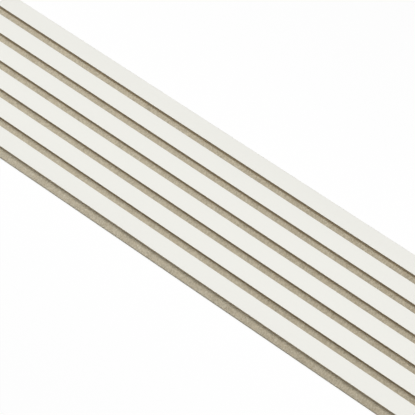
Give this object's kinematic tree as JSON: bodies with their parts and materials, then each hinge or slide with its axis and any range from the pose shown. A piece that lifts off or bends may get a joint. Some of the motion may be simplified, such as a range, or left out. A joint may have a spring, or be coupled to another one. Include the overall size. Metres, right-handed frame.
{
  "type": "acoustic slat panel",
  "caption": "Long flat wall panel: parallel white-faced fibreboard slats glued at even gaps to a beige felt backing, which runs on bare along one edge for the butt joint.",
  "frame": {"origin": "middle of the felt's back face, which lies on the floor or against the wall", "axes": "+X along the slats, +Y across them towards the edge that is flush with a slat, +Z out of the slat faces"},
  "size_m": [2.4, 0.241, 0.021],
  "materials": {
    "felt": "matte",
    "white_face": "satin"
  },
  "bodies": {
    "root": {"felt_backing": "felt", "slat_1": "white_face", "slat_2": "white_face", "slat_3": "white_face", "slat_4": "white_face", "slat_5": "white_face", "slat_6": "white_face"}
  },
  "joints": []
}
